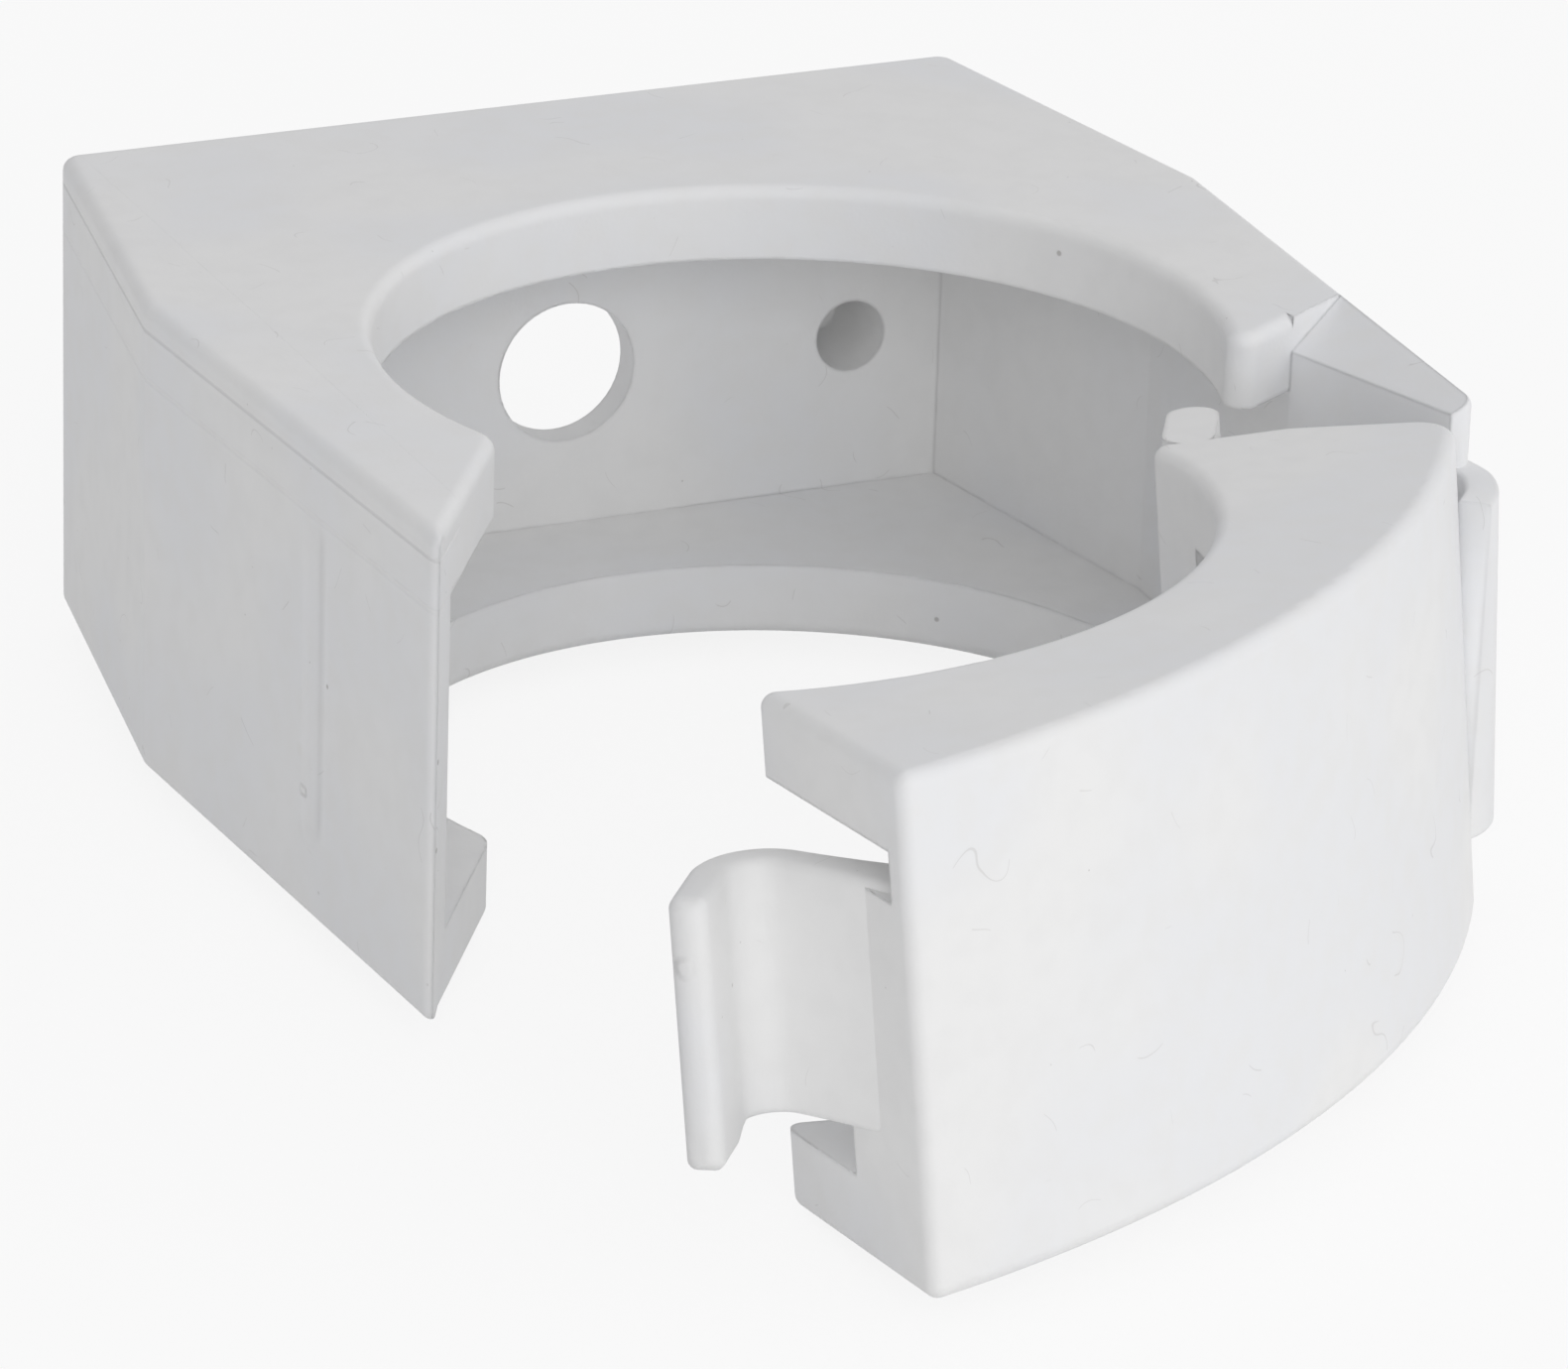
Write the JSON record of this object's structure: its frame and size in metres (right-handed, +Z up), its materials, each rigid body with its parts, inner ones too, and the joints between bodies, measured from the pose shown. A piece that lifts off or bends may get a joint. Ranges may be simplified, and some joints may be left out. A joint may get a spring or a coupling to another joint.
{
  "type": "pipe clip",
  "caption": "White plastic pipe clip with a hinged front gate that snaps shut round a 28 mm pipe, screwed to a wall through its back.",
  "frame": {"origin": "on the pipe's axis, at the underside of the lower plate", "axes": "+Z up along the pipe, +Y towards the wall, +X towards the hinge"},
  "size_m": [0.0386, 0.06, 0.0178],
  "materials": {
    "white_plastic": "satin moulded polypropylene"
  },
  "bodies": {
    "base": {"clip_body": "white_plastic", "hinge_strap": "white_plastic"},
    "gate": {"gate": "white_plastic", "latch_hook": "white_plastic"}
  },
  "joints": [
    {"name": "gate_hinge", "type": "hinge", "parent": "base", "child": "gate", "pos_m": [0.016, -0.016, 0.00825], "axis": [-0.1683, -0.0499, 0.9845], "range_deg": [-37.2, 50], "deforming": ["hinge_strap", "latch_hook"]}
  ]
}
